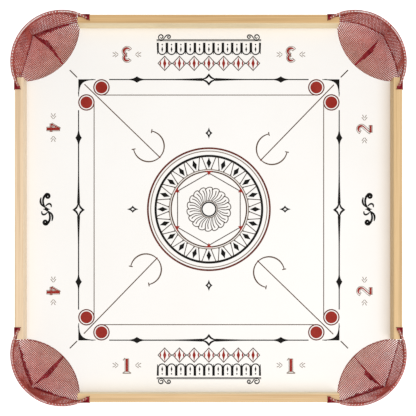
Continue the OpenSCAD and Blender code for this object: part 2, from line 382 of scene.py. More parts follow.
def netting(name, dark, mid, bright, panel_shade):
    """Knitted polyester thread: fine twist, dull sheen and uneven dye. The last argument is the
    share of painted shade, a browner colour, next to the panel."""
    paint = Paint(name, Specular_IOR_Level=0.12, Sheen_Weight=0.08, Sheen_Roughness=0.4,
                  Sheen_Tint=bright)
    dye = paint.noise(paint.place, 60, 3)
    twist = paint.ribs(620.0, 3.0)
    tone = paint.ramp(dye, (0.32, dark), (0.5, mid), (0.68, bright))
    # painted shade: browner next to the playing face, where the panel's shadow falls under the net
    out = paint.length(paint.stretched((1, 1, 0)))
    tone = paint.mix(paint.remap(out, PANEL_SHADE_FROM, PANEL_SHADE_TO, panel_shade, 0.0), tone, rgb(172, 116, 92))
    tone = paint.shade(0.35, tone, twist, (0.1, (0.6, 0.55, 0.55, 1)), (0.7, WHITE))
    return paint.finish(tone, twist, 0.6, 0.85, twist, 0.2 * MM, 0.6)


def cloth():
    """Dark red twill tape: diagonal ribs, fuzz and rubbed high spots."""
    paint = Paint("tab_cloth", Specular_IOR_Level=0.1, Sheen_Weight=0.1, Sheen_Roughness=0.5,
                  Sheen_Tint=rgb(220, 90, 100))
    rib = paint.ribs(360.0, 1.2)
    wear = paint.noise(paint.place, 130, 4)
    tone = paint.ramp(wear, (0.3, rgb(96, 8, 22)), (0.55, rgb(134, 18, 34)),
                      (0.75, rgb(168, 44, 56)))
    tone = paint.shade(0.45, tone, rib, (0.2, (0.5, 0.45, 0.45, 1)), (0.6, WHITE))
    return paint.finish(tone, wear, 0.75, 0.95, rib, 0.3 * MM, 0.7)


def coated_wire():
    """White dipped plastic over steel, with faint runs and a few grey scuffs."""
    paint = Paint("white_wire", Coat_Weight=0.3, Coat_Roughness=0.15)
    runs = paint.noise(paint.stretched((1, 1, 2)), 160, 3)
    scuff = paint.noise(paint.place, 700, 5, 0.75)
    tone = paint.ramp(runs, (0.3, rgb(240, 238, 234)), (0.7, rgb(252, 251, 249)))
    tone = paint.shade(0.6, tone, scuff, (0.26, rgb(160, 154, 150)), (0.34, WHITE))
    return paint.finish(tone, scuff, 0.22, 0.42, runs, 0.1 * MM, 0.4)


def steel():
    """Galvanised wire: spangled grey metal."""
    paint = Paint("steel", Metallic=1.0)
    spangle = paint.noise(paint.place, 900, 4)
    tone = paint.ramp(spangle, (0.3, rgb(150, 150, 152)), (0.7, rgb(205, 206, 208)))
    return paint.finish(tone, spangle, 0.25, 0.5, spangle, 0.03 * MM, 0.4)


def dress(material, *names):
    """Puts a material on the frame's own solids."""
    for name in names:
        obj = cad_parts[name]
        if not obj.material_slots:
            obj.data.materials.append(None)
        for held in obj.material_slots:
            held.material = material


# --- printed artwork, in millimetres from its centre -----------------------------------------
PRINT_SHIFT = (0.8, 1.9)        # the print sits slightly off the middle of the face
SQUARE_SHIFT = (0.8, 0.6)       # its square was screened a little nearer the front
INK_T = 0.06 * MM
INK_SUNK = 0.02 * MM            # marks start this far inside the sheet
INK_STEP = 0.016 * MM           # each ink lies this much above the one before
MARK_STEP = 0.002 * MM          # and each mark this much above its neighbour, up to seven
BLEED = 0.6                     # ink spreads this much past each stroke
OUTER = 265.3                   # outer square line
BASE = 233.7                    # inner base line
BASE_RING = (218.7, 249.3)      # centres of the base circles
STRAND = 1.1                    # width of the fine lines


def arc(cx, cy, radius, start, end, step=4.0):
    """Points along an arc, in degrees."""
    count = max(3, int(abs(end - start) / step) + 1)
    turns = [radians(a) for a in spread(start, end, count)]
    return [(cx + radius * cos(t), cy + radius * sin(t)) for t in turns]


def curve(a, b, c, d, count=12):
    """Points along a cubic curve."""
    def at(i, t):
        s = 1 - t
        return s ** 3 * a[i] + 3 * s * s * t * b[i] + 3 * s * t * t * c[i] + t ** 3 * d[i]
    return [(at(0, t), at(1, t)) for t in spread(0, 1, count)]


def spiral(cx, cy, r_out, r_in, start, sweep, count=26):
    """Points along a spiral that winds from its outer to its inner radius."""
    points = []
    for t in spread(0, 1, count):
        r, a = lerp(r_out, r_in, t), radians(start + sweep * t)
        points.append((cx + r * cos(a), cy + r * sin(a)))
    return points


def swell(points, thin, thick):
    """Line widths that grow to the middle of a stroke and fall away again."""
    return [lerp(thin, thick, hump(t)) for t in spread(0, 1, len(points))]


class Ink(Shape):
    """Thin raised marks of one ink. All inks draw in one local frame, which stands anywhere on
    the artwork. Each mark is a hair higher or lower than its neighbours, so no faces coincide."""

    shift = PRINT_SHIFT

    def __init__(self, lift):
        super().__init__()
        self.lift, self.marks = lift, 0

    @classmethod
    def stand(cls, x=0, y=0, turn=0, flip=1):
        a = radians(turn)
        cls.origin, cls.flip, cls.cos, cls.sin = (x, y), flip, cos(a), sin(a)

    def put(self, p):
        x, y = p[0] * self.flip, p[1]
        return Vector(((self.shift[0] + self.origin[0] + x * self.cos - y * self.sin) * MM,
                       (self.shift[1] + self.origin[1] + x * self.sin + y * self.cos) * MM, 0))

    def heights(self):
        self.marks += 1
        step = (self.marks % 7) * MARK_STEP
        return UP * (FACE_Z - INK_SUNK + step), UP * (FACE_Z + INK_T + self.lift + step)

    def strip(self, left, right, closed=False):
        low, high = self.heights()
        rings = [[self.put(a) + low, self.put(b) + low, self.put(b) + high, self.put(a) + high]
                 for a, b in zip(left, right)]
        self.skin([ring[::self.flip] for ring in rings], closed)

    def line(self, points, width, closed=False):
        """Stroke along points; width is a number or one value for each point."""
        widths = width if isinstance(width, list) else [width] * len(points)
        left, right, last = [], [], len(points) - 1
        for i, (x, y) in enumerate(points):
            before = points[i - 1] if closed or i else points[0]
            after = points[(i + 1) % len(points)] if closed or i < last else points[last]
            sides = []
            for a, b in ((before, (x, y)), ((x, y), after)):
                d = hypot(b[0] - a[0], b[1] - a[1])
                if d > 1e-6:
                    sides.append(((a[1] - b[1]) / d, (b[0] - a[0]) / d))
            nx, ny = (sum(s[k] for s in sides) / len(sides) for k in (0, 1))
            grow = (widths[i] + BLEED) / 2 / max(nx * nx + ny * ny, 0.3)
            left.append((x + nx * grow, y + ny * grow))
            right.append((x - nx * grow, y - ny * grow))
        self.strip(right, left, closed)

    def ring(self, cx, cy, radius, width, step=4.0):
        self.line(arc(cx, cy, radius, 0, 360 - step, step), width, True)

    def plate(self, outline):
        """Filled outline, drawn anticlockwise."""
        low, high = self.heights()
        points = [self.put(p) for p in outline[::self.flip]]
        self.skin([[p + low for p in points], [p + high for p in points]])

    def disc(self, cx, cy, radius):
        self.plate(arc(cx, cy, radius, 0, 350, 10))

    def star(self, cx, cy, half_x, half_y, pinch, hole=None):
        """Four-pointed star with hollow sides. Hole is the half size of its open middle."""
        def outline(rx, ry):
            corners = [(rx, 0), (0, ry), (-rx, 0), (0, -ry)]
            points = []
            for (ax, ay), (bx, by) in zip(corners, corners[1:] + corners[:1]):
                middle = (cx + (ax + bx) * pinch, cy + (ay + by) * pinch)
                points += curve((cx + ax, cy + ay), middle, middle, (cx + bx, cy + by), 7)[:-1]
            return points
        if hole:
            self.strip(outline(half_x, half_y), outline(*hole), True)
        else:
            self.plate(outline(half_x, half_y))


BLACK, BROWN, TAN, GREY, MAROON, RED = (Ink(i * INK_STEP) for i in range(6))


def square_lines():
    """The outer square with its diamonds and corner brackets, and the base lines inside it."""
    edge, arm = OUTER + 0.5, 35
    for turn in (0, 90, 180, 270):
        Ink.stand(turn=turn)
        BROWN.line([(-BASE_RING[0], -BASE), (BASE_RING[0], -BASE)], STRAND)
        for flip in (1, -1):
            Ink.stand(turn=turn, flip=flip)
            reach = spread(13, 80, 12) + [110, 138, 152]
            BLACK.line([(x, -OUTER) for x in reach],
                       [1.8 + 3.6 * max(0, (80 - x) / 67) ** 1.8 for x in reach])
            BLACK.line([(152, -OUTER), (203, -OUTER)], 1.5)
            BLACK.line([(235, -OUTER), (240, -OUTER)], 1.4)
            BLACK.star(146.5, -OUTER, 25, 6.6, 0.28)
        Ink.stand(turn=turn)
        BLACK.star(0, -OUTER, 19, 12.8, 0.33, (10.2, 6.4))
        # bracket in the corner: square outside, hollow inside
        inside = curve((arm, 1.4), (8, 1.6), (1.6, 8), (1.4, arm), 16)
        corner = [(x, 0) for x in spread(arm, 0, 8)] + [(0, y) for y in spread(0, arm, 9)[1:]]
        BLACK.strip(*[[(x - edge, y - edge) for x, y in side] for side in (inside, corner)])


def base_circles():
    for a in (-1, 1):
        for b in (-1, 1):
            for x, y in (BASE_RING, BASE_RING[::-1]):
                MAROON.ring(x * a, y * b, 15.5, 1.8, 6)
                RED.disc(x * a, y * b, 12.2)


def diagonals():
    """Each corner's dash, diagonal and hook, drawn along the line from the centre to it. The
    hooks stand a little to one side of it, and the diagonals slant across to them."""
    hook_at, hook_r, aside, sweep, tick = 177.2, 31.4, -4.1, 124, 4
    for turn in (45, 135, 225, 315):
        Ink.stand(turn=turn)
        GREY.line([(379.5, 0), (400.5, 0)], 1.7)
        BROWN.line([(hook_at - hook_r, aside), (359.2, 0.2 * aside)], 1.45)
        hook = arc(hook_at, aside, hook_r, 180 - sweep, 180 + sweep, 5)
        BROWN.line(hook, [1.3 + 0.9 * abs(sin(2 * pi * t)) for t in
                          spread(0, 1, len(hook))])
        for side in (-1, 1):
            a = radians(180 + side * sweep)
            BROWN.line([(hook_at + r * cos(a), aside + r * sin(a))
                        for r in (hook_r - tick, hook_r + tick)], 1.5)
        MAROON.star(hook_at - hook_r, aside, 2.4, 2.4, 0.5)


def centre_rings():
    for each, radius, width in ((MAROON, 124.2, 3.0), (TAN, 118.4, 1.4), (BLACK, 108.5, 4.0),
                                (TAN, 80.7, 1.4), (BROWN, 76.8, 2.2)):
        each.ring(0, 0, radius, width, 3)


def wedges():
    """Twenty tapered frames round the ring, each with a black lozenge in it."""
    for i in range(20):
        Ink.stand(turn=i * 18)
        BLACK.star(0, 94.3, 4.9, 11.2, 0.46)
        for side in (-1, 1):
            GREY.line([(14.5 * side, 106.5), (5.1 * side, 83)], 1.15)
            BLACK.disc(5.1 * side, 82.6, 1.5)
            BLACK.star(14.4 * side, 106.0, 2.2, 2.2, 0.5)


def hexagon():
    corner_r = 73.6
    turns = [radians(60 * i) for i in range(6)]
    GREY.line([(corner_r * sin(t), corner_r * cos(t)) for t in turns[::-1]], 1.25, True)
    for i in range(6):
        Ink.stand(turn=i * 60)
        RED.plate([(-8.6, 78.0), (-3.2, 74.6), (0, 68.6), (3.2, 74.6), (8.6, 78.0)])


def rosette():
    """Eighteen petals with a slight swirl round a plain boss."""
    petals, tip, valley, boss = 18, 44.9, 39.9, 17.4
    step = 360 / petals

    def at(radius, angle):
        a = radians(angle)
        return (radius * sin(a), radius * cos(a))

    for mid in [i * step for i in range(petals)]:
        lobe = []
        for t in spread(-1, 1, 15):
            bulge = (1 - abs(t) ** 2.4) ** 0.65
            lobe.append(at(lerp(valley, tip, bulge), mid + t * step / 2 + 3.4 * bulge))
        GREY.line(lobe, 1.2)
        for shift, top in ((step / 2, valley), (1.5, 40.0)):
            vein = [at(lerp(top, boss, t), mid + shift - 8 * t + 6 * hump(t))
                    for t in spread(0, 1, 9)]
            GREY.line(vein, [lerp(1.3, 0.7, t) for t in spread(0, 1, 9)])
    TAN.ring(0, 0, 17.2, 1.1, 8)
    BLACK.ring(0, 0, 14.2, 2.3, 8)


def side_stars():
    for turn in (0, 90, 180, 270):
        Ink.stand(turn=turn)
        BLACK.star(0, 155, 7.4, 11.8, 0.33, (2.8, 4.2))


# Strokes of each numeral: a centre line from top to bottom, and its heaviest half width
STEM = 2.35
FIGURES = {
    1: [([(0, 13), (0, -13)], STEM)],
    2: [(arc(0, 6.2, 6.6, 160, -30, 16) + [(-4.5, -8.5), (-7, -12.4)], 1.9),
        ([(-6.6, -12.6), (7.4, -12.6)], 1.7)],
    3: [(arc(-0.6, 6.6, 6.2, 150, -80, 16), 1.9), (arc(-0.6, -6, 7.0, 80, -150, 16), 2.1)],
    4: [([(2.6, 13.2), (-7.4, -3.6)], 0.9), ([(-7.6, -4.6), (8.2, -4.6)], 0.9),
        ([(2.8, 13), (2.8, -13.4)], STEM)],
}


def outlined(points, half):
    """A red stroke with a thin pale line round it. Curved strokes swell in the middle."""
    def offset(reach):
        sides = []
        for i, (x, y) in enumerate(points):
            a, b = points[max(i - 1, 0)], points[min(i + 1, len(points) - 1)]
            d = hypot(b[0] - a[0], b[1] - a[1])
            sides.append((x + (a[1] - b[1]) / d * reach, y + (b[0] - a[0]) / d * reach))
        return sides
    RED.line(points, swell(points, 0.2, 2 * half) if len(points) > 2 else 2 * half)
    rim = offset(half + 1.5) + offset(-half - 1.5)[::-1]
    TAN.line(rim[::-1], 0.6, True)


def numeral(figure, x, y, turn):
    """A player's number between two pairs of chevrons."""
    Ink.stand(x, y, turn)
    for points, half in FIGURES[figure]:
        outlined(points, half)
    if figure == 1:
        for start, end, width in (((-8.6, -16.2), (8.6, -16.2), 1.6),
                                  ((-8.6, -16.2), (-3.6, -12.6), 1.1),
                                  ((8.6, -16.2), (3.6, -12.6), 1.1),
                                  ((-7.8, 9.8), (-3.9, 14.6), 1.2)):
            TAN.line([start, end], width)
    for flip in (-1, 1):
        Ink.stand(x, y, turn, flip)
        for near, wide in ((17.5, 5.4), (22.5, 4.0)):
            for side in (-1, 1):
                TAN.line([(near, 0.5 * side), (near + 6.4, wide * side)], [0.5, 0.9])


def numerals():
    for side in (-1, 1):
        numeral(1, 167 * side, -317.6, 0)
        numeral(2, 316.8, 165 * side - 1.8, 90)
        numeral(3, 167 * side, 315.0, 180)
        numeral(4, -316.7, 166.2 * side, -90)


def frieze(turn):
    """Ornament between the numerals: a row of red spindles in lozenges over a row of rings and
    darts, with a double rule and a pair of scrolls below."""
    Ink.stand(turn=turn)
    pitch, top, low, bay = 30.0, -297.0, -327.0, 19.0
    for i in range(7):
        x = (i - 3) * pitch
        RED.star(x, top, 3.4, 13.4, 0.42)
        for side in (-8.6, 8.6):
            RED.star(x + side, top, 1.7, 8, 0.4)
        GREY.line([(x + 13.4, top), (x, top + 14.6), (x - 13.4, top), (x, top - 14.6)], 1.1, True)
        if i < 6:
            GREY.disc(x + pitch / 2, top, 1.5)
    leg = bay / 2 - 1.4
    for i in range(11):
        x = (i - 5) * bay
        arch = arc(x, low + 4, leg, 0, 180, 20)
        BLACK.line([(x + leg, low - 12)] + arch + [(x - leg, low - 12)], 1.7)
        BLACK.star(x, low + 1.5, 2.0, 6.4, 0.45)
        BLACK.disc(x, low - 8.2, 1.5)
    for i in range(12):
        BLACK.line([((i - 5.5) * bay, low + 11), ((i - 5.5) * bay, low - 12)], [1.0, 2.8])
    for y in (-342.9, -345.1):
        BLACK.line([(-106.5, y), (106.5, y)], 0.9)
    for flip in (1, -1):
        Ink.stand(turn=turn, flip=flip)
        scroll = spiral(97, -350.6, 6.6, 1.6, 90, -430)
        BLACK.line(scroll, swell(scroll, 1.0, 1.8))
        tail = curve((97, -344.0), (90, -344.4), (90, -355.4), (82, -354.9)) + \
            spiral(82, -350.8, 4.2, 1.2, 270, -400, 18)[1:]
        BLACK.line(tail, swell(tail, 1.0, 1.7))


def friezes():
    for turn in (0, 180):
        frieze(turn)


def flourishes():
    """A double scroll with a leaf at its waist, at the left and the right."""
    body = curve((0, 0), (10, 9), (22, 9), (29, 2), 14) + \
        spiral(26.5, -2.0, 4.9, 1.3, 52, -470)[1:]
    leaf = curve((4, 3.5), (10, 14), (17, 13), (24, 11), 10)
    twig = curve((6, 2), (14, -4), (12, -11), (4, -9.5), 12)
    for x in (-330.6, 325.2):
        for turn in (90, 270):
            Ink.stand(x, 0, turn)
            BLACK.line(body, swell(body, 2.2, 4.4))
            BLACK.line(leaf, swell(leaf, 1.4, 3.6))
            BLACK.line(twig, swell(twig, 1.4, 3.2))
        Ink.stand(x, 0, 90)
        BLACK.star(0, 0, 4.6, 8.0, 0.35)


def artwork():
    for shift, parts in (
            (SQUARE_SHIFT, (square_lines, base_circles)),
            (PRINT_SHIFT, (diagonals, centre_rings, wedges, hexagon, rosette, side_stars,
                           numerals, friezes, flourishes))):
        Ink.shift = shift
        for draw in parts:
            Ink.stand()
            draw()
    for name, shape, deep, worn in (
            ("black", BLACK, rgb(8, 7, 5), rgb(22, 20, 16)),
            ("brown", BROWN, rgb(82, 60, 46), rgb(104, 82, 66)),
            ("tan", TAN, rgb(128, 112, 98), rgb(150, 134, 120)),
            ("grey", GREY, rgb(66, 54, 46), rgb(94, 82, 72)),
            ("maroon", MAROON, rgb(92, 32, 20), rgb(114, 50, 36)),
            ("red", RED, rgb(146, 36, 27), rgb(162, 52, 42))):
        shape.piece("print_" + name, ink("ink_" + name, deep, worn), "printed_face", soft=False)


# --- pocket nets, worked out for the back right corner ---------------------------------------
POCKET_MID = (RAIL_MID + APEX.x - POCKET_R * cos(pi / 4)) / 2
ALONG = Vector((1, 1)).normalized()         # out along the pocket's diagonal
ACROSS = Vector((1, -1)).normalized()       # square to it, towards the right rail
SLOT_TURN = 110                             # middle of the bare slot, degrees round the wire
SHUT = -30                                  # width of a slot whose sides overlap, in degrees
SLOT_END, SLOT_FADE = 1.06, 0.08            # the slot shuts here, past the rails' ends
LACE_HIDDEN = 0.14                          # noise above this hides the lacing
THIN = 0.5 * MM                             # radius of sewing thread
ROUND = WIRE_R + 0.95 * MM                  # reach of a thread that lies over the sleeve
SHADE_THREAD_IN = 3.2 * MM                      # from the panel's edge to a dark thread that paints the shade under that edge


def hem_point(u, out=0.0):
    """Edge of the net under the panel; u runs from -1 at the back rail to 1 at the right."""
    a = radians(225 + HEM_HALF * u)
    r = POCKET_R + out
    return Vector((RAIL_MID + r * cos(a), RAIL_MID + r * sin(a), HEM_Z))


def hoop_point(u, outward=0.0, rise=0.0):
    a = radians(45 - HOOP_HALF * u)
    r = HOOP_R + outward
    return Vector((HOOP_C + r * cos(a), HOOP_C + r * sin(a), HOOP_Z + rise))


class Pocket:
    """One corner's net. Each hangs, folds and is sewn a little differently.

    low: shift of the bag's lowest point. ends and swells: shift outward of the outer seam's end
    and its outward bow, first towards the right rail, then towards the back rail. rolls: width
    of its rolled edge on the same two sides. foot: shift of the middle seam's outer end from
    the lowest point. flap: width along the middle seam of the edge pressed over beside it,
    towards the right rail if lean is 1. bow: sideways bow of the middle seam. Millimetres.
    heft: thickness of the netting's threads. bare: degrees of bare wire left by the sleeve;
    below zero the sleeve's sides overlap."""

    def __init__(self, side, depth, seed, low, ends, swells, rolls, foot, lean, flap, bow=0.0,
                 heft=1.0, bare=0.0):
        self.side, self.depth, self.seed = side, depth, seed
        self.sx = 1 if side == "right" else -1
        self.sy = 1 if depth == "back" else -1
        self.apex = APEX + Vector((*low, 0)) * MM
        self.foot = self.apex + Vector((*foot, 0)) * MM
        self.ends, self.swells, self.rolls = ends, swells, rolls
        self.lean, self.flap, self.bow = lean, flap, bow * MM
        self.heft, self.bare = heft, bare
        rows, wide = 29, 81
        points = [self.floor(u, v) for v in spread(0, 1, rows) for u in spread(-1, 1, wide)]
        quads = [(at, at + 1, at + wide + 1, at + wide)
                 for row in range(rows - 1) for at in range(row * wide, row * wide + wide - 1)]
        self.sheet = BVHTree.FromPolygons(points, quads)

    def noise(self, *where):
        return noise.noise(Vector(where) + Vector((0, 0, self.seed * 3.7)))

    def seam(self, u):
        """The outer seam: lowest at u = 0, rising to the right rail at 1 and the back at -1."""
        t, back = abs(u), u < 0
        end = SEAM_END + Vector((self.ends[back] * MM, 0, 0))
        start = Vector((self.apex.y, self.apex.x, self.apex.z)) if back else self.apex
        p = lerp(start, end, t)
        p.x += self.swells[back] * MM * hump(t)
        p.z = lerp(start.z, end.z, t ** 1.5)
        return Vector((p.y, p.x, p.z)) if back else p

    def floor(self, u, v):
        """The two panels that slope down from the hem to the seams; v is 1 at the seam."""
        sag, pleat_high, fold_high = 2.0 * MM, 0.9 * MM, 2.6 * MM
        p = lerp(hem_point(u) - UP * HEM_DROP, self.seam(u), v)
        p.z -= sag * hump(v) * abs(u) ** 0.7
        away = Vector((p.x - self.apex.x, p.y - self.apex.y))
        swing = atan2(away.y, away.x)
        pleat = sin(9 * swing + self.seed) + 0.6 * sin(17 * swing + 2 * self.seed)
        p.z += pleat_high * hump(v) * pleat * smooth(away.length / 0.03)
        p.z += fold_high * hump(v) * self.noise(p.x * 22, p.y * 22, 0)
        return p

    def skirt(self, u, w):
        """The outer band, from the seam up to the hoop; w is 1 at the hoop."""
        p = lerp(self.seam(u), hoop_point(u, -0.6 * MM, -WIRE_R), w)
        out = Vector((p.x - HOOP_C, p.y - HOOP_C, 0)).normalized()
        fold = self.noise(u * 5, w * 1.3, 0)
        pleat = sin(24 * u + self.seed) * abs(u) ** 2
        calm = 0.4 + 0.6 * smooth(abs(u) / 0.4)
        return p + out * hump(w) * (1.0 + 2.4 * fold * calm + pleat) * MM

    def tall(self, u):
        """Height of the outer band, measured along the cloth."""
        return (self.skirt(u, 0) - self.skirt(u, 1)).length

    def below_hoop(self, u, drop):
        return self.skirt(u, 1 - drop / self.tall(u))

    def on_floor(self, x, y):
        return self.sheet.ray_cast(Vector((x, y, 1)), -UP)[0]

    # threads ---------------------------------------------------------------------------
    def threads(self, shape, place, values, radius):
        """Threads along a line, wherever it lies on the sheet, trimmed to the sheet's edge."""
        pieces, piece, last = [], [], None
        for s in values:
            p = place(s)
            if last is not None and (p is None) == bool(piece):
                good, bad = (last, s) if p is None else (s, last)
                for _ in range(5):
                    half = (good + bad) / 2
                    good, bad = (good, half) if place(half) is None else (half, bad)
                edge = place(good)
                if p is None:
                    if (edge - piece[-1]).length > 0.2 * MM:
                        piece.append(edge)
                    pieces.append(piece)
                    piece = []
                elif (edge - p).length > 0.2 * MM:
                    piece = [edge]
            if p is not None:
                piece.append(p)
            last = s
        for piece in pieces + [piece]:
            shape.tube(piece, radius * self.heft)

    def floor_threads(self, shape):
        """Netting laid across and along the pocket's diagonal. The threads along it zigzag
        from row to row."""
        middle = Vector((POCKET_MID, POCKET_MID))
        reach = 110 * MM
        rows, chains = int(reach / ROW_PITCH), int(reach / CHAIN_PITCH)
        for k in range(-rows, rows + 1):
            def row(s):
                q = middle + ALONG * k * ROW_PITCH + ACROSS * s
                p = self.on_floor(q.x, q.y)
                return p and p + UP * 0.4 * MM

            self.threads(shape, row, spread(-reach, reach, 2 * chains), ROW_R)
        halves = [i * ROW_PITCH / 2 for i in range(-2 * rows, 2 * rows + 1)]
        for k in range(-chains, chains + 1):
            def chain(s):
                wave = abs(s / ROW_PITCH % 1 - 0.5) * 4 - 1
                q = middle + ACROSS * (k + wave * 0.15) * CHAIN_PITCH + ALONG * s
                return self.on_floor(q.x, q.y)

            self.threads(shape, chain, halves, CHAIN_R)

    def skirt_threads(self, shape):
        """Netting of the outer band: steep threads that cross in tall diamonds."""
        length = sum((self.skirt(a, 0.5) - self.skirt(a + 0.02, 0.5)).length
                     for a in spread(-1, 0.98, 100))
        tall, stride = self.tall(0), 2 * MM
        lean = tall * SKIRT_LEAN
        steps = [i * stride for i in range(int(tall / stride) + 2)]
        for slope in (-SKIRT_LEAN, SKIRT_LEAN):
            for k in range(int((length + 2 * lean) / SKIRT_PITCH)):
                start = k * SKIRT_PITCH - length / 2 - (lean if slope > 0 else 0)

                def place(h):
                    u = (start + slope * h) / length * 2
                    if abs(u) > 1 or h < 0 or h > self.tall(u):
                        return None
                    return self.skirt(u, h / self.tall(u))

                self.threads(shape, place, steps, SKIRT_R)

    # seams -----------------------------------------------------------------------------
    def doubled(self, shape, left, right, radius):
        """Netting folded back on itself: close threads from one line over to the other."""
        for a, b in zip(left, right):
            if (a - b).length > CHAIN_PITCH / 2:
                shape.tube([a, (a + b) / 2 + UP * 0.4 * MM, b], radius)
        for t in (0.36, 0.7):
            shape.tube([lerp(a, b, t) + UP * 0.5 * MM for a, b in zip(left, right)], radius * 0.8)

    def outer_seam(self, shape):
        """Rolled seam from rail to rail, with a raw edge that stands up here and there."""
        turns = spread(-1, 1, 110)
        line = [self.seam(u) + UP * 0.7 * MM for u in turns]
        shape.tube(line, [(0.95 + 0.5 * self.noise(u * 14, 1, 0)) * MM for u in turns], 6)
        left, right = [], []
        for u in spread(-0.96, 0.96, 130):
            p = self.seam(u) + UP * 1.2 * MM
            fade = smooth(abs(u) / 0.06) * smooth((1 - abs(u)) / 0.3)
            wide = self.rolls[u < 0] * fade * (1.5 - abs(u)) * (1 + 0.6 * self.noise(u * 12, 5, 0))
            inward = Vector((HOOP_C - p.x, HOOP_C - p.y, 0)).normalized()
            left.append(p)
            right.append(p + inward * max(wide, 0.6) * MM + UP * 0.8 * MM)
        self.doubled(shape, left, right, 0.6 * MM)

    def middle_seam(self, shape):
        """Seam down the pocket's diagonal, with its spare netting pressed over to one side."""
        side = ACROSS * self.lean
        line, left, right = [], [], []
        places = spread(0, 1, 64)
        for s in places:
            q = lerp(hem_point(0, -THIN), self.foot, s)
            wander = self.bow * hump(s) + 0.8 * MM * self.noise(s * 9, 2, 0) * hump(s)
            q = Vector((q.x, q.y)) + side * wander
            p = self.on_floor(q.x, q.y) or Vector((q.x, q.y, lerp(HEM_Z, self.foot.z, s)))
            w = q + side * profile(self.flap, s) * (1 + 0.15 * self.noise(s * 22, 4, 0)) * MM
            under = self.on_floor(w.x, w.y) or p
            line.append(p + UP * 0.9 * MM)
            left.append(p + UP * 1.2 * MM)
            right.append(Vector((w.x, w.y, max(under.z, p.z - 2 * MM) + 1.5 * MM)))
        shape.tube(line, [lerp(1.1, 0.6, s) * MM for s in places], 6)
        self.doubled(shape, left, right, 0.62 * MM)

    def hem(self, shape):
        """Double hem stapled under the panel's edge, and just beyond it a dark thread that stands
        in for the shade the edge casts on the net.
        """
        turns = spread(-1, 1, 60)
        shape.band([hem_point(u, HEM_W) for u in turns],
                   [hem_point(u, -0.6 * MM) for u in turns], NET_T)
        shape.tube([hem_point(u, -0.7 * MM) for u in turns], 0.55 * MM, 5)
        # painted shade: a dark thread where the panel's edge shades the net
        selvedge = [hem_point(u * 0.98, -SHADE_THREAD_IN) for u in turns]
        shape.tube([(self.on_floor(p.x, p.y) or p) + UP * 0.9 * MM for p in selvedge],
                   0.55 * MM, 5)

    def gathers(self, shape):
        """Stitched line that closes the sleeve, and pleats that draw in towards both rails."""
        turns = spread(-0.99, 0.99, 200)
        radii = [(0.5 + 0.25 * (i % 2) + 0.5 * abs(u) ** 3) * MM for i, u in enumerate(turns)]
        shape.tube([self.below_hoop(u, STITCH_DROP) for u in turns], radii, 5)
        pick = random.Random(self.seed)
        pleats = ((0.62, 0.80, 0.60, 0.9), (0.42, 0.60, 0.70, 0.7), (0.22, 0.36, 0.74, 0.6))
        for side in (-1, 1):
            for low, high, start, fat in pleats:
                rise = spread(0, 1, 22)
                start += 0.12 * pick.random()
                shape.tube([self.skirt(side * lerp(start, 0.99, t), lerp(high, low, t))
                            for t in rise], [fat * MM * (0.2 + 0.8 * smooth(t)) for t in rise], 5)

    def round_wire(self, u, turn, reach):
        """Point beside the wire; turn goes from 0 outside over 90 on top to 180 inside. Near the
        rails it stays above their tops."""
        a = radians(turn)
        low = RAIL_TOP + 1.3 * MM - HOOP_Z
        return hoop_point(u, reach * cos(a), max(reach * sin(a), low))

    def sleeve(self, shape):
        """Top hem of the net rolled round the wire: close stitching up both of its sides with a
        slot of bare wire on top, a lacing across the slot, and rows down to the line below."""
        past = BORE_HALF / HOOP_HALF * 0.985        # on over the rails' ends, up to the bores
        length = radians(2 * HOOP_HALF * past) * HOOP_R
        stitches = int(length / (1.5 * MM)) * 4
        for side, foot in ((-1, -40), (1, 250)):
            points = []
            for i, u in enumerate(spread(-past, past, stitches)):
                slot = lerp(self.bare, SHUT, smooth((abs(u) - SLOT_END) / SLOT_FADE))
                edge = SLOT_TURN + side * (slot / 2 + 22 * self.noise(u * 7, side, 3))
                over = 1 - abs(i / 4 % 2 - 1)
                points.append(self.round_wire(u, lerp(foot, edge, over), WIRE_R + THIN))
            shape.tube(points, THIN)
        wraps, turns = int(length / LACE), 2
        half_wrap = 0.65 * MM / length * past * 2
        for k in range(wraps):
            u = lerp(-past, past, (k + 0.5) / wraps)
            if self.noise(u * 3.1, 6, 1) > LACE_HIDDEN and abs(u) < 0.9:
                continue
            slant = half_wrap * (1 + 0.8 * self.noise(u * 30, 1, 6))
            shape.tube([self.round_wire(u + slant * t, SLOT_TURN + 180 * turns * t, ROUND)
                        for t in spread(-1, 1, turns * 10 + 1)], 0.6 * MM, 5)
        row_step = 2.4 * MM
        for start in (0, 1):
            shape.tube([self.below_hoop(lerp(-0.99, 0.99, i * row_step / length),
                                        STITCH_DROP if (i + start) % 2 else 0.8 * MM)
                        for i in range(int(length / row_step))], 0.55 * MM)

    def rim(self, shape):
        """Dark selvedge thread down the outer side of the wire."""
        shape.tube([self.round_wire(u, 12 + 14 * self.noise(u * 9, 8, 2), ROUND)
                    for u in spread(-0.99, 0.99, 150)], THIN, 5)

    def knots(self, shape):
        """The lacing is tied off in a knot over each end of the wire."""
        ball, turns = 2.6 * MM, 5
        for end in (-1, 1):
            middle = hoop_point(end * BORE_HALF / HOOP_HALF, 0.0, -1.2 * MM)
            points = []
            for t in spread(0, 1, turns * 10 + 1):
                down, round_it = radians(8 + 92 * t), tau * turns * t
                side = Vector((cos(round_it), sin(round_it), 0)) * sin(down)
                p = middle + (side + UP * cos(down)) * ball * (1 + 0.1 * self.noise(t * 9, end, 9))
                points.append(Vector((p.x, p.y, max(p.z, RAIL_TOP + 1.2 * MM))))
            shape.tube(points, THIN, 5)

    def build(self, thread, seam_thread):
        corner = f"{self.depth}_{self.side}"
        for label, material, stands_for, parts in (
                ("netting_", thread, ("net_" + corner,), (self.floor_threads, self.skirt_threads)),
                ("net_seams_", seam_thread, (), (self.outer_seam, self.middle_seam, self.hem,
                                                 self.gathers, self.rim, self.knots)),
                ("hoop_lacing_", thread, ("sleeve_" + corner,), (self.sleeve,))):
            shape = Shape()
            for sew in parts:
                sew(shape)
            moved = shape.flipped(False, self.sx, self.sy)
            moved.piece(label + corner, material, "netting", stands_for)


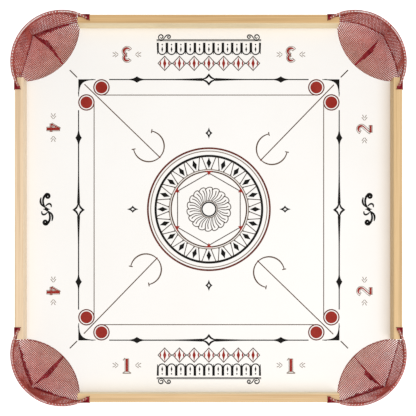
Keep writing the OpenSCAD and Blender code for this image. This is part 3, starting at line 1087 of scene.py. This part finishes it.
# --- cloth tabs ------------------------------------------------------------------------------
def tab_shape(seed):
    """Tape at the back end of the right rail: it leaves the sleeve under the wire, widens along
    the rail's top, and folds down over the outer face. Its far end is cut and a little frayed."""
    low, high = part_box("tab_right_back_end")
    top, out, thick = high.z, high.x, 0.75 * MM
    on_top, on_side = 7, 7          # points of the tape's outline on the rail's top and its face
    # keeps outboard of the wire's leg, then widens behind it
    inner_line = ((0.0, RAIL_OUT - 4.2 * MM), (0.5, BORE.x + 3.4 * MM), (0.72, BORE.x + 2.8 * MM),
                  (0.93, BORE.x + 2.6 * MM), (0.95, BORE.x - 3.0 * MM), (1.0, BORE.x - 3.9 * MM))
    rings = []
    for t in spread(0, 0.93, 20) + [0.95, 0.975, 1.0]:
        y = lerp(RAIL_END - 0.3 * MM, low.y, t)
        drop = lerp(low.z + 4 * MM, low.z, smooth(t * 2.5))
        drop += 0.9 * MM * noise.noise(Vector((t * 9, seed, 1)))
        if t == 1:
            y += 0.7 * MM * noise.noise(Vector((seed, t * 3, 7)))
        loft = 0.8 * MM * max(0, noise.noise(Vector((t * 5, seed, 4)))) * abs(t - 0.45) * 2
        outside = [(x, top + loft * 0.5)
                   for x in spread(profile(inner_line, t), out - 1.6 * MM, on_top)]
        outside += [(out - 0.5 * MM, top - 0.3 * MM), (out + loft * 0.4, top - 1.4 * MM)]
        outside += [(out + loft * hump(s), lerp(top - 2.6 * MM, drop, s))
                    for s in spread(0, 1, on_side)]
        inside = []
        for i, (x, z) in enumerate(outside):
            turned = min(max(i - on_top + 1, 0) / 2, 1)     # 0 on the top, 1 down the face
            inside.append((x - turned * thick, z - (1 - turned) * thick))
        rings.append([Vector((x, y, z)) for x, z in outside + inside[::-1]])
    shape = Shape()
    shape.skin(rings)
    # stitched edge along the wire side and the bottom of the flap
    for index in (0, len(outside) - 1):
        shape.tube([ring[index] for ring in rings], 0.42 * MM, 5)
    return shape


def tabs(pocket, material):
    """The two tabs at one corner: one on the side rail and one on the front or back rail."""
    side, depth = pocket.side, pocket.depth
    for node, seed, swap in ((f"tab_{side}_{depth}_end", pocket.seed, False),
                             (f"tab_{depth}_{side}_end", pocket.seed + 5, True)):
        shape = tab_shape(seed).flipped(swap, pocket.sx, pocket.sy)
        shape.piece("cloth_" + node, material, "tab_cloth", (node,))


# --- dressing the frame's own solids ---------------------------------------------------------
def dress_frame():
    dress(sheet_white(), "play_face")
    dress(plywood(), "play_panel")
    # the last colour of each rail is its inner face's painted light, or its painted shade on the
    # right rail
    woods = {
        "front": (0, rgb(238, 207, 162), rgb(214, 171, 110), rgb(255, 243, 205)),
        "back": (0, rgb(230, 192, 136), rgb(200, 156, 95), rgb(255, 242, 204)),
        "left": (1, rgb(247, 223, 191), rgb(231, 195, 148), rgb(250, 230, 200)),
        "right": (1, rgb(236, 203, 153), rgb(212, 172, 114), rgb(206, 174, 122)),
    }
    for seed, (name, (lengthwise, sap, late, pale)) in enumerate(woods.items()):
        dress(timber("pine_" + name, lengthwise, sap, late, pale, seed + 1), "rail_" + name)
    dress(coated_wire(), *[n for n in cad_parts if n.startswith("hoop_")])
    dress(steel(), *[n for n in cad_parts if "staples" in n or n.startswith("brads")])


# --- studio ----------------------------------------------------------------------------------
# The camera looks straight down from above the front of the board, and its frame is shifted so
# that the board fills it. Any other view moves the camera, and the shift then drops to zero.
CAM_X, CAM_Y, CAM_RISE = -0.001, -0.2033, 1.413
LENS, SENSOR, SHIFT = 60.06, 36.0, 0.2452


def camera():
    data = bpy.data.cameras.new("camera")
    cam = placed("camera", data)
    cam.location = (CAM_X, CAM_Y, FACE_Z + CAM_RISE)
    data.lens, data.sensor_width = LENS, SENSOR
    data.clip_start, data.clip_end = 0.05, 60
    drive = data.driver_add("shift_y").driver
    drive.type = "SCRIPTED"
    where = drive.variables.new()
    where.name = "y"
    where.targets[0].id = cam
    where.targets[0].data_path = "location[1]"
    drive.expression = f"{SHIFT} * (abs(y - {CAM_Y}) < 0.0001)"
    bpy.context.scene.camera = cam


def softbox(name, place, size, power, tint=(1, 1, 1)):
    data = bpy.data.lights.new(name, "AREA")
    data.shape, data.size, data.energy, data.color = "DISK", size, power, tint
    obj = placed(name, data)
    obj.location = place
    obj.rotation_euler = (-Vector(place)).to_track_quat("-Z", "Y").to_euler()
    obj.visible_camera = False


def studio():
    world = bpy.data.worlds.new("studio")
    world.use_nodes = True
    nodes, links = world.node_tree.nodes, world.node_tree.links
    back = nodes["Background"]
    back.inputs["Color"].default_value = WHITE
    seen = nodes.new("ShaderNodeMapRange")          # dim as a light, white to the camera
    seen.inputs["To Min"].default_value = 0.55
    seen.inputs["To Max"].default_value = 1.0
    links.new(nodes.new("ShaderNodeLightPath").outputs["Is Camera Ray"], seen.inputs["Value"])
    links.new(seen.outputs["Result"], back.inputs["Strength"])
    scene = bpy.context.scene
    scene.world = world
    scene.view_settings.view_transform = "Standard"
    scene.view_settings.look = "None"
    scene.cycles.denoising_prefilter = "NONE"       # a filtered guide would smear the netting
    softbox("top", (0.0, 0.0, 3.2), 3.0, 39)
    softbox("key", (1.7, -1.5, 2.1), 1.5, 18, (1.0, 0.97, 0.93))


def floor():
    paint = Paint("floor", Roughness=0.9, Emission_Color=WHITE, Emission_Strength=0.5)
    grain = paint.noise(paint.place, 30, 2)
    tone = paint.ramp(grain, (0.3, (0.91, 0.91, 0.91, 1)), (0.7, (0.94, 0.94, 0.94, 1)))
    half = 12
    mesh = bpy.data.meshes.new("floor")
    corners = [(-half, -half, 0), (half, -half, 0), (half, half, 0), (-half, half, 0)]
    mesh.from_pydata(corners, [], [(0, 1, 2, 3)])
    mesh.materials.append(paint.colour(tone))
    placed("floor", mesh)


# --- build -----------------------------------------------------------------------------------
dress_frame()
artwork()
# the last number of each is its share of painted shade next to the panel
THREAD = netting("netting", rgb(188, 84, 76), rgb(208, 104, 94), rgb(223, 126, 115), 0.75)
SEAM_THREAD = netting("seam_netting", rgb(134, 24, 38), rgb(160, 38, 52), rgb(186, 64, 74), 0.1)
TAPE = cloth()
POCKETS = [
    Pocket("left", "back", 3, low=(0.6, 2.2), ends=(-3.5, -5.8), swells=(2, 7), rolls=(1.4, 6),
           foot=(-2, 0), lean=-1, bow=4.5, bare=4,
           flap=((0, 1), (0.3, 4), (0.5, 6.5), (0.66, 10), (0.74, 7), (0.9, 2.5), (1, 0.5))),
    Pocket("right", "back", 5, low=(-2.4, 4.0), ends=(1, -4.5), swells=(7, 11), rolls=(1, 1.2),
           foot=(-11, -12), lean=1, heft=0.98, bare=0,
           flap=((0, 2), (0.3, 5.5), (0.62, 9), (0.72, 7), (0.88, 3), (1, 0.4))),
    Pocket("left", "front", 8, low=(2, -2), ends=(0.9, 3), swells=(6, 4), rolls=(5.5, 3.2),
           foot=(-4, -5), lean=-1, heft=0.97, bare=-60,
           flap=((0, 1.5), (0.1, 3.5), (0.3, 7), (0.55, 10.5), (0.64, 10), (0.7, 6), (1, 0.5))),
    Pocket("right", "front", 11, low=(2.7, -4), ends=(1.3, 3.9), swells=(2.4, 3), rolls=(1.4, 5.5),
           foot=(-12, -3), lean=-1, bow=1.0, heft=0.88, bare=-70,
           flap=((0, 0.8), (0.46, 1.6), (0.54, 9), (0.75, 6.5), (1, 0.5))),
]
for pocket in POCKETS:
    pocket.build(THREAD, SEAM_THREAD)
    tabs(pocket, TAPE)
camera()
studio()
floor()
